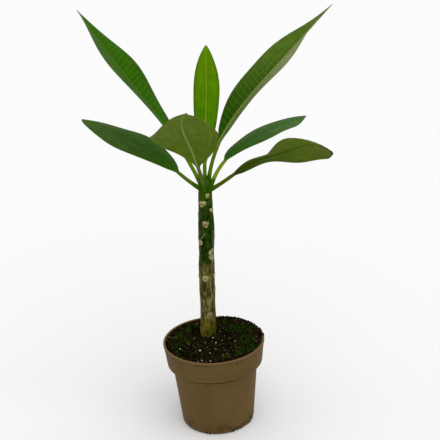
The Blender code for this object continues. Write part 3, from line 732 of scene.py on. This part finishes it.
def bark_finish():
    """Green young bark above, corky and cracked grey brown below, olive at the soil, and cream scars."""
    material, tree, shader = new_finish("bark", 0.7, 0.03)
    height = height_of(tree)
    across = add_node(tree, "ShaderNodeSeparateXYZ", {0: place(tree)}).outputs["X"]
    lean = (CANE_TOP[0] - CANE_FOOT[0]) / (CANE_TOP[2] - CANE_FOOT[2])
    middle = sums(tree, "ADD", sums(tree, "MULTIPLY", height, lean), CANE_FOOT[0] - lean * CANE_FOOT[2])
    offset = sums(tree, "SUBTRACT", across, middle)
    ragged = sums(tree, "ADD", height, sums(tree, "MULTIPLY", grain(tree, 150, 5, stretch=(1, 1, 0.35)), 0.030))
    streak = grain(tree, 360, 5, stretch=(1, 1, 0.25))
    green = blend(tree, spread(tree, streak, 0.35, 0.7), tone(12, 42, 0), tone(42, 68, 6))
    green = blend(tree, spread(tree, height, 0.262, 0.284, 0, 0.8), green, tone(50, 86, 0))
    mottle = grain(tree, 210, 4, stretch=(1, 1, 0.7))
    green = blend(tree, spread(tree, mottle, 0.53, 0.62, 0, 0.8), green, tone(60, 54, 20))
    green = blend(tree, spread(tree, mottle, 0.46, 0.38, 0, 0.75), green, tone(10, 22, 0))
    plates = grain(tree, 340, 5, stretch=(1, 1, 0.35))
    corky = blend(tree, spread(tree, plates, 0.36, 0.62), tone(54, 54, 18), tone(122, 114, 68))
    growth = spread(tree, grain(tree, 150, 4, stretch=(1, 1, 0.45)), 0.48, 0.6, 0, 0.75)
    corky = blend(tree, growth, corky, tone(46, 58, 12))
    rusty = spread(tree, grain(tree, 260, 3, stretch=(1, 1, 0.6)), 0.58, 0.68, 0, 0.7)
    corky = blend(tree, rusty, corky, tone(92, 62, 24))
    cracks = spread(tree, grain(tree, 460, 4, stretch=(1, 1, 0.3)), 0.44, 0.36)
    corky = blend(tree, sums(tree, "MULTIPLY", cracks, 0.6), corky, tone(32, 32, 6))
    olive = blend(tree, spread(tree, plates, 0.35, 0.65), tone(70, 56, 12), tone(118, 104, 34))
    mossy = sums(tree, "ADD", offset, sums(tree, "MULTIPLY", grain(tree, 160, 4, stretch=(1, 1, 0.4)), 12 * MM))
    olive = blend(tree, spread(tree, mossy, 4 * MM, 9 * MM, 0, 0.7), olive, tone(56, 66, 4))
    flecks = spread(tree, grain(tree, 300, 3, stretch=(1, 1, 0.5)), 0.56, 0.64, 0, 0.8)
    olive = blend(tree, flecks, olive, tone(78, 40, 10))
    olive = blend(tree, sums(tree, "MULTIPLY", cracks, 0.6), olive, tone(44, 30, 4))
    corky = blend(tree, spread(tree, height, 0.138, 0.120), corky, olive)
    # Painted sheen: patches of paler grey brown on the cane's left and right sides, where it is seen at a grazing
    # angle.
    flank = spread(tree, sums(tree, "ABSOLUTE", offset), 5.5 * MM, 8.6 * MM)
    flank_sheen = sums(tree, "MULTIPLY", flank, spread(tree, grain(tree, 170, 4, stretch=(1, 1, 0.3)), 0.38, 0.54))
    green = blend(tree, sums(tree, "MULTIPLY", flank_sheen, 0.8), green, tone(84, 82, 54))
    colour = blend(tree, spread(tree, ragged, 0.210, 0.218), corky, green)
    scar = add_node(tree, "ShaderNodeAttribute", attribute_name="scar").outputs["Fac"]
    cream = blend(tree, spread(tree, grain(tree, 600, 3), 0.38, 0.62), tone(128, 120, 70), tone(184, 176, 126))
    cream = blend(tree, spread(tree, scar, 0.9, 0.98), cream, tone(120, 88, 50))
    fine = sums(tree, "ADD", scar, sums(tree, "MULTIPLY", sums(tree, "SUBTRACT", grain(tree, 900, 3), 0.5), 0.5))
    shown = sums(tree, "MULTIPLY", spread(tree, fine, 0.12, 0.26), spread(tree, height, 0.140, 0.205, 0.45, 0.92))
    colour = blend(tree, shown, colour, cream)
    tree.links.new(colour, shader.inputs["Base Color"])
    relief = sums(tree, "SUBTRACT", grain(tree, 700, 5, stretch=(1, 1, 0.25)), cracks)
    emboss(tree, shader, relief, 0.3 * MM, 0.7)
    return material


cane_rows = int((CANE_TOP[2] - CANE_FOOT[2]) / CANE_ROW)
cane_points, scar_values = [], []
for height in np.linspace(CANE_FOOT[2], CANE_TOP[2], cane_rows):
    middle = cane_axis(height)
    shown = height > SOIL_EDGE_HEIGHT
    for k in range(CANE_SIDES):
        angle = 2 * pi * k / CANE_SIDES
        radius = cane_radius(height)
        scar = 0
        if shown and height < CANE_TOP[2] - BUD_LENGTH:
            scar = scar_at(height, angle)
            radius += CANE_RIPPLE * sin(RIPPLE_COUNT * angle + height / RIPPLE_LENGTH)
            radius += SCAR_STAND * min(scar * 2.5, 1) - 0.5 * SCAR_STAND * max(scar - 0.5, 0)
            scar = max(scar, 0.3 * scratch_at(height, angle))
            where = Vector((cos(angle) * 4, sin(angle) * 4, height / (6 * MM)))
            radius += BARK_GRAIN * noise.fractal(where, 1.0, 2.0, 4)
        cane_points.append((middle[0] + radius * cos(angle), middle[1] + radius * sin(angle), height))
        scar_values.append(scar)
cane_points += [tuple(CANE_FOOT), tuple(CANE_TOP)]
scar_values += [0, 0]
cane = add_piece("cane_bark", cane_points, tube_faces(cane_rows, CANE_SIDES), bark_finish())
cane.data.attributes.new("scar", "FLOAT", "POINT").data.foreach_set("value", scar_values)
bud_points, bud_faces = [], []
for x, y, low, high, radius in BUD_SCALES:
    path = [(x, y + 0.1 * share * (high - low), low + share * (high - low)) for share in BUD_SHARES]
    scale_points, scale_faces = path_tube(np.array(path) * MM, [radius * MM * part for part in BUD_FORM], 12)
    bud_faces += [tuple(corner + len(bud_points) for corner in face) for face in scale_faces]
    bud_points += scale_points
bud_material, tree, shader = new_finish("bud_green", 0.5, 0.06)
bud_colour = blend(tree, grain(tree, 300, 3, stretch=(1, 1, 0.3)), tone(30, 62, 0), tone(66, 104, 6))
tree.links.new(bud_colour, shader.inputs["Base Color"])
bud = add_piece("bud_scales", bud_points, bud_faces, bud_material)
for piece in (cane, bud):
    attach(piece, "root")
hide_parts("cane")

# Leaves
# Long pointed leathery leaves in a spiral at the cane's tip, each grown as one piece: a round stalk that
# runs on as the midrib, straight side veins that bow towards the tip, and a vein along the margin.
STALK_RADIUS = 2.1
TIP_RADIUS = 0.5
RIB_STAND = 1.5
RIB_HALF_WIDTH = 1.7
BLADE_THICKNESS = 0.8
MARGIN_THICKNESS = 0.4
BLADE_BLEND = 0.12
MARGIN_LEAD = 1.1
GROOVE_DEPTH = 0.45
VEIN_SPACING = 7.0
VEIN_SLANT = 0.32
VEIN_BOW = 0.006
FOOT_SWELL = 0.3
FOOT_SWELL_LENGTH = 14
QUILT_HEIGHT = 0.12
LEAF_STATIONS = 220
LEAF_COLUMNS = 45
COLUMN_CROWDING = 1.6
# Leaf sizes in millimetres and degrees, as in the frame: foot, length, stalk, bearing, rise and roll at even
# steps, the blade's half width and where it is widest, the fullness of its base and tip, the lift and the
# drop of its left and right halves, and its margins' waves as left height, right height, count and phase.
# The colours of the upper side are those of its left half's base and tip and its right half's, and those of the
# underside its base and tip; the greyer, paler tones of the upper sides towards their tips, and the pale right half of
# the upper right leaf, are painted sheen. Veins says how clearly the side veins show. Rib is the midrib's colour, how
# clearly it shows and how wide it is, margin what share of its brightness the blade keeps at its margins, and
# dry the share of the blade from which its tip is brown.
LEAVES = {
    "leaf_upper_left": dict(
        foot=(-2.9, 15.4, 291.8), length=263, stalk=38,
        bearing=(137.5, 140, 140, 135, 132.5), rise=(59, 47, 43, 42, 39), roll=(-13, -18, -10, -25),
        half=30.5, peak=0.53, base=1.18, tip=1.05, fold=(22, 10), curl=(6, 14), wave=(0.3, 1.3, 2.1, -10),
        upper=((52, 92, 4), (60, 100, 26), (42, 92, 0), (50, 97, 0)), under=((76, 96, 28), (84, 104, 44)),
        stem=(84, 116, 4), veins=0.5, rib=((84, 124, 40), 0.6, 1), margin=0.85, dry=0.985),
    "leaf_centre": dict(
        foot=(1.2, 11.6, 292.6), length=164, stalk=21,
        bearing=(90, 81, 79.5, 84, 82.5), rise=(59, 59.5, 63, 63.5, 63.5), roll=(-1, -3, -5, 2),
        half=16, peak=0.63, base=0.8, tip=0.77, fold=(28, 22), curl=(4, 12), wave=(1.2, 1, 2.4, 10),
        upper=((66, 121, 0), (89, 131, 0), (66, 121, 0), (91, 133, 0)), under=((92, 122, 24), (100, 130, 40)),
        stem=(76, 112, 0), veins=0.2, rib=((132, 164, 40), 0.6, 1.2), margin=0.6, dry=0.99),
    # Its pale grey right half is painted sheen.
    "leaf_upper_right": dict(
        foot=(4.6, 17.2, 292.5), length=275, stalk=38,
        bearing=(47, 35, 38, 40, 40), rise=(77, 47, 33, 31, 31), roll=(-12, -1, 7, 24),
        half=30, peak=0.49, base=1.11, tip=1.02, fold=(19, 24), curl=(7, 4), wave=(2, 2, 2, -120),
        upper=((32, 74, 0), (82, 109, 30), (92, 108, 50), (142, 150, 104)), under=((84, 104, 44), (110, 124, 72)),
        stem=(78, 108, 6), veins=0.7, rib=((150, 164, 84), 0.6, 1), margin=0.85, dry=0.985),
    "leaf_lower_left": dict(
        foot=(-4.5, 9.9, 290.6), length=207, stalk=33,
        bearing=(129.5, 128, 135.5, 145.5, 141.5), rise=(10.5, 19.5, 13.5, 15, 7.5), roll=(2, -5, 1, -3),
        half=29, peak=0.5, base=1.19, tip=0.72, fold=(7, 3), curl=(17, 20), wave=(0.4, 1, 2.3, 10),
        upper=((45, 88, 0), (68, 99, 36), (45, 88, 0), (66, 99, 34)), under=((76, 96, 28), (84, 104, 44)),
        stem=(78, 104, 2), veins=0.2, rib=((48, 84, 12), 0.6, 1), margin=0.85, dry=0.985),
    "leaf_front": dict(
        foot=(0.5, 5.2, 289.7), length=232, stalk=33,
        bearing=(-106, -101, -96, -88, -77), rise=(63, 47, 32, 29, 19), roll=(5, 1, -9, -2),
        half=34.5, peak=0.49, base=1.22, tip=1.3, fold=(3, 7), curl=(25, 16), wave=(2.3, 2.3, 2.4, 20),
        upper=((40, 82, 4), (56, 92, 28), (40, 82, 4), (56, 92, 28)), under=((79, 103, 16), (87, 107, 28)),
        stem=(84, 92, 42), veins=0.3, rib=((126, 140, 78), 0.85, 1.05), margin=0.92, dry=0.99),
    "leaf_mid_right": dict(
        foot=(6.6, 10.2, 290.5), length=177, stalk=34,
        bearing=(59.5, 52.5, 40.5, 35, 32.5), rise=(46.5, 20.5, 11.5, 7, 6), roll=(8, 9, 7, -16),
        half=27, peak=0.53, base=1.15, tip=0.99, fold=(6, 9), curl=(18, 16), wave=(1.1, 1.1, 1.8, 5),
        upper=((49, 98, 2), (76, 114, 52), (49, 100, 0), (78, 116, 54)), under=((76, 96, 28), (84, 104, 44)),
        stem=(112, 140, 20), veins=0.2, rib=((54, 90, 20), 0.6, 1), margin=0.85, dry=0.985),
    # Its dark base tones on both sides and its dark midrib are painted shade.
    "leaf_lower_right": dict(
        foot=(5.5, 5.8, 289.4), length=196, stalk=34,
        bearing=(-34.5, -39, -38.5, -53, -58), rise=(31, 37, 21, 22, -15.5), roll=(51, 38, 24, 40, 43),
        half=28.5, peak=0.69, base=1.21, tip=0.66, fold=(6, 0), curl=(24, 35), wave=(2.6, 2, 2.2, 185),
        upper=((46, 68, 0), (80, 101, 18), (50, 72, 0), (86, 106, 28)), under=((50, 72, 0), (86, 106, 22)),
        stem=(72, 90, 4), veins=0.15, rib=((46, 62, 0), 0.45, 1.4), margin=0.85, dry=0.92),
}


def smooth(values, share):
    """Smooth curve through evenly spaced values, read at shares from 0 to 1."""
    values = np.asarray(values, float)
    before, after = 2 * values[0] - values[1], 2 * values[-1] - values[-2]
    values = np.concatenate([[before], values, [after]])
    position = np.clip(share, 0, 1) * (len(values) - 3)
    first = np.minimum(position.astype(int), len(values) - 4)
    f = position - first
    a, b, c, d = (values[first + k] for k in range(4))
    return b + 0.5 * f * (c - a + f * (2 * a - 5 * b + 4 * c - d + f * (3 * (b - c) + d - a)))


def midrib(leaf, share):
    """Points, sideways and upward directions along the midrib, in millimetres."""
    bearing = np.radians(smooth(leaf["bearing"], share))
    rise = np.radians(smooth(leaf["rise"], share))
    roll = np.radians(smooth(leaf["roll"], share))[:, None]
    flat = np.cos(rise)
    forward = np.stack([flat * np.cos(bearing), flat * np.sin(bearing), np.sin(rise)], 1)
    level = np.stack([np.sin(bearing), -np.cos(bearing), np.zeros(len(share))], 1)
    step = (forward[1:] + forward[:-1]) / 2 * np.diff(share)[:, None] * leaf["length"]
    points = np.vstack([np.zeros(3), np.cumsum(step, axis=0)]) + np.array(leaf["foot"])
    upright = np.cross(level, forward)
    return points, level * np.cos(roll) + upright * np.sin(roll), upright * np.cos(roll) - level * np.sin(roll)


def half_width(leaf, blade):
    """Half width of the blade, from 0 at its base (blade 0) to 0 at its tip (blade 1)."""
    peak = leaf["peak"]
    low = np.sin(pi / 2 * np.clip(blade / peak, 0, 1)) ** leaf["base"]
    high = np.sin(pi / 2 * np.clip((1 - blade) / (1 - peak), 0, 1)) ** leaf["tip"]
    return leaf["half"] * np.where(blade < peak, low, high)


def leaf_surface(leaf):
    """Points of the leaf's rings, and for each point its share along, share across, distance from the
    midrib and place among the side veins."""
    share = np.linspace(0, 1, LEAF_STATIONS)
    middles, sides, ups = midrib(leaf, share)
    stalk = leaf["stalk"] / leaf["length"]
    blade = np.clip((share - stalk) / (1 - stalk), 0, 1)[:, None]
    rib = STALK_RADIUS + (TIP_RADIUS - STALK_RADIUS) * blade
    from_foot = share[:, None] * leaf["length"]
    rib = rib * (1 + FOOT_SWELL * np.exp(-(from_foot / FOOT_SWELL_LENGTH) ** 2))
    width = np.hypot(half_width(leaf, blade), rib)
    flatness = np.clip(blade / BLADE_BLEND, 0, 1)
    flatness = flatness * flatness * (3 - 2 * flatness)
    even = np.linspace(-1, 1, LEAF_COLUMNS)[None, :]
    across = np.sign(even) * np.abs(even) ** COLUMN_CROWDING
    right = across > 0
    reach = np.abs(across)
    fold = np.radians(np.where(right, leaf["fold"][1], leaf["fold"][0]))
    curl = np.radians(np.where(right, leaf["curl"][1], leaf["curl"][0]))
    sideways = (np.sin(fold) - np.sin(fold - curl * reach)) / curl
    upward = (np.cos(fold - curl * reach) - np.cos(fold)) / curl
    left_height, right_height, count, phase = leaf["wave"]
    turn = 2 * pi * count * blade + radians(phase) + np.where(right, 0, MARGIN_LEAD)
    wave = np.where(right, right_height, left_height) * reach ** 2 * np.sin(turn) * np.sin(pi * blade)
    away = reach * width
    run = blade * (leaf["length"] - leaf["stalk"])
    vein = (run - VEIN_SLANT * away - VEIN_BOW * away ** 2) / VEIN_SPACING + np.where(right, 0.5, 0)
    fade = np.sin(pi * np.clip(blade, 0, 1)) ** 0.4 * np.clip(away / 3, 0, 1) * np.clip((1 - reach) * 6, 0, 1)
    quilt = -QUILT_HEIGHT * np.cos(2 * pi * vein) * fade
    x = np.where(right, 1, -1) * sideways * width
    z = upward * width + wave + quilt
    half_thick = (BLADE_THICKNESS + (MARGIN_THICKNESS - BLADE_THICKNESS) * reach ** 2) / 2
    ridge = np.sqrt(np.clip(1 - (away / (RIB_HALF_WIDTH * (1.1 - blade))) ** 2, 0, 1))
    groove = GROOVE_DEPTH * np.exp(-(away / 0.9) ** 2) * (1 - blade)
    angle = pi * (1 - (np.arange(LEAF_COLUMNS) + 0.5) / LEAF_COLUMNS)[None, :]
    round_x, round_z = rib * np.cos(angle), rib * np.sin(angle)
    ring_x = round_x + (x - round_x) * flatness
    top = round_z + (z + half_thick - groove - round_z) * flatness
    bottom = -round_z + (z - half_thick - RIB_STAND * (1 - blade) * ridge + round_z) * flatness
    local_x = np.concatenate([ring_x, ring_x[:, ::-1]], 1)[..., None]
    local_z = np.concatenate([top, bottom[:, ::-1]], 1)[..., None]
    points = middles[:, None] + sides[:, None] * local_x + ups[:, None] * local_z
    facts = {}
    for fact, values in (("along", blade + 0 * across), ("across", across + 0 * blade), ("away", away),
                         ("vein", vein), ("from_foot", from_foot + 0 * across)):
        both = np.concatenate([values, values[:, ::-1]], 1).ravel()
        facts[fact] = np.concatenate([both, [both[LEAF_COLUMNS // 2], both[-1 - LEAF_COLUMNS // 2]]])
    points = np.vstack([points.reshape(-1, 3), middles[:1], middles[-1:]]) * MM
    return points, facts


def toned(tree, shares, tones):
    """A colour that runs through screen tones, given as the share that mixes in the second of each pair."""
    return blend(tree, shares, tone(*tones[0]), tone(*tones[1]))


def blade_finish(name, leaf, left, right, roughness, gloss, vein_depth):
    """One side of a leaf. Each half runs from its base tone to its tip tone, with streaks along the blade,
    mottling, paler veins and the stalk's own colour at its foot."""
    material, tree, shader = new_finish(name, roughness, gloss)
    along, across, away, vein, from_foot = (
        add_node(tree, "ShaderNodeAttribute", attribute_name=fact).outputs["Fac"]
        for fact in ("along", "across", "away", "vein", "from_foot"))
    reach = sums(tree, "ABSOLUTE", across)
    outward = spread(tree, sums(tree, "ADD", along, sums(tree, "MULTIPLY", reach, 0.15)), 0.1, 0.95)
    # Painted sheen: the upper side's tones that turn greyer and paler towards the tips, and on one half of some
    # leaves, stand in for its sheen.
    colour = blend(tree, spread(tree, across, -0.05, 0.05), toned(tree, outward, left), toned(tree, outward, right))
    grainline = add_node(tree, "ShaderNodeCombineXYZ", {"X": sums(tree, "MULTIPLY", across, 9),
                                                        "Y": sums(tree, "MULTIPLY", along, 3)}).outputs[0]
    for pattern, low in ((grain(tree, 1, 3, grainline), 0.86), (grain(tree, 90, 4), 0.88),
                         (grain(tree, 800, 3), 0.9)):
        colour = blend(tree, 1.0, colour, spread(tree, pattern, 0.3, 0.7, low, 1.08), "MULTIPLY")
    colour = blend(tree, 1.0, colour, spread(tree, reach, 0.7, 1, 1, leaf["margin"]), "MULTIPLY")
    pale = tone(*(value + (190 - value) * 0.45 for value in left[0][:2]), 60)
    vein = sums(tree, "ADD", vein, sums(tree, "MULTIPLY", grain(tree, 30, 2), 0.8))
    off_line = sums(tree, "ABSOLUTE", sums(tree, "SUBTRACT", sums(tree, "FRACT", vein), 0.5))
    lines = sums(tree, "MULTIPLY", spread(tree, off_line, 0.45, 0.49), spread(tree, reach, 0.97, 0.8))
    lines = sums(tree, "MULTIPLY", lines, spread(tree, along, 0.99, 0.88))
    edge_vein = spread(tree, sums(tree, "ABSOLUTE", sums(tree, "SUBTRACT", reach, 0.93)), 0.02, 0.005)
    lines = sums(tree, "MAXIMUM", lines, sums(tree, "MULTIPLY", edge_vein, 0.6))
    colour = blend(tree, sums(tree, "MULTIPLY", lines, leaf["veins"]), colour, pale)
    colour = blend(tree, spread(tree, reach, 0.975, 0.995, 0, 0.25), colour, pale)
    rib_tone, rib_shown, rib_width = leaf["rib"]
    rib_width = spread(tree, along, 0, 1, 1.3 * rib_width, 0.35 * rib_width)
    rib_line = spread(tree, sums(tree, "DIVIDE", away, rib_width), 1.2, 0.7, 0, rib_shown)
    colour = blend(tree, rib_line, colour, tone(*rib_tone))
    dry = sums(tree, "ADD", along, sums(tree, "MULTIPLY", sums(tree, "SUBTRACT", grain(tree, 260, 3), 0.5), 0.05))
    colour = blend(tree, spread(tree, dry, leaf["dry"], leaf["dry"] + 0.03, 0, 0.85), colour, tone(72, 62, 34))
    colour = blend(tree, spread(tree, along, 0.09, 0.005), colour, tone(*leaf["stem"]))
    colour = blend(tree, spread(tree, from_foot, 15, 8, 0, 0.95), colour, tone(46, 84, 0))
    tree.links.new(colour, shader.inputs["Base Color"])
    relief = sums(tree, "ADD", sums(tree, "MULTIPLY", lines, vein_depth),
                  sums(tree, "MULTIPLY", grain(tree, 1100, 3), 0.3))
    emboss(tree, shader, relief, 0.25 * MM, 0.6)
    return material


leaf_faces = tube_faces(LEAF_STATIONS, 2 * LEAF_COLUMNS)
for name, leaf in LEAVES.items():
    upper, under = leaf["upper"], leaf["under"]
    top_finish = blade_finish(name + "_top", leaf, upper[:2], upper[2:], 0.5, 0.012, -1)
    under_finish = blade_finish(name + "_under", leaf, under, under, 0.6, 0.012, 1)
    points, facts = leaf_surface(leaf)
    blade = add_piece(name + "_blade", points, leaf_faces, top_finish, under_finish)
    for fact, values in facts.items():
        blade.data.attributes.new(fact, "FLOAT", "POINT").data.foreach_set("value", values)
    columns = np.arange(len(leaf_faces)) % (2 * LEAF_COLUMNS)
    blade.data.polygons.foreach_set("material_index", (columns >= LEAF_COLUMNS - 1).astype(int))
    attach(blade, "root")
    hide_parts(name)

# Floor and light
# A plain pale floor under the soft, even light of a studio, a little stronger from above, in front and right.
FLOOR_RADIUS = 12
FLOOR_SIDES = 64
STUDIO_LIGHT = 0.8
LAMP_STRENGTH = 1.0
LAMP_SPREAD = 60
LAMP_PLACE = Vector((0.35, -0.6, 1.2))

floor_material, tree, shader = new_finish("pale_floor", 0.9, 0.0)
shader.inputs["Base Color"].default_value = (0.9, 0.9, 0.9, 1)
floor_turns = [2 * pi * k / FLOOR_SIDES for k in range(FLOOR_SIDES)]
floor_points = [(FLOOR_RADIUS * cos(turn), FLOOR_RADIUS * sin(turn), 0) for turn in floor_turns]
floor = add_piece("floor", floor_points, [tuple(range(FLOOR_SIDES))], floor_material)

world = bpy.data.worlds.new("studio")
bpy.context.scene.world = world
world.use_nodes = True
world.node_tree.nodes["Background"].inputs["Color"].default_value = (1, 1, 1, 1)
world.node_tree.nodes["Background"].inputs["Strength"].default_value = STUDIO_LIGHT
bpy.context.scene.view_settings.view_transform = "Standard"

lamp_data = bpy.data.lights.new("soft_lamp", "SUN")
lamp_data.energy = LAMP_STRENGTH
lamp_data.angle = radians(LAMP_SPREAD)
lamp = bpy.data.objects.new("soft_lamp", lamp_data)
lamp.rotation_euler = LAMP_PLACE.to_track_quat("Z", "Y").to_euler()
bpy.context.scene.collection.objects.link(lamp)
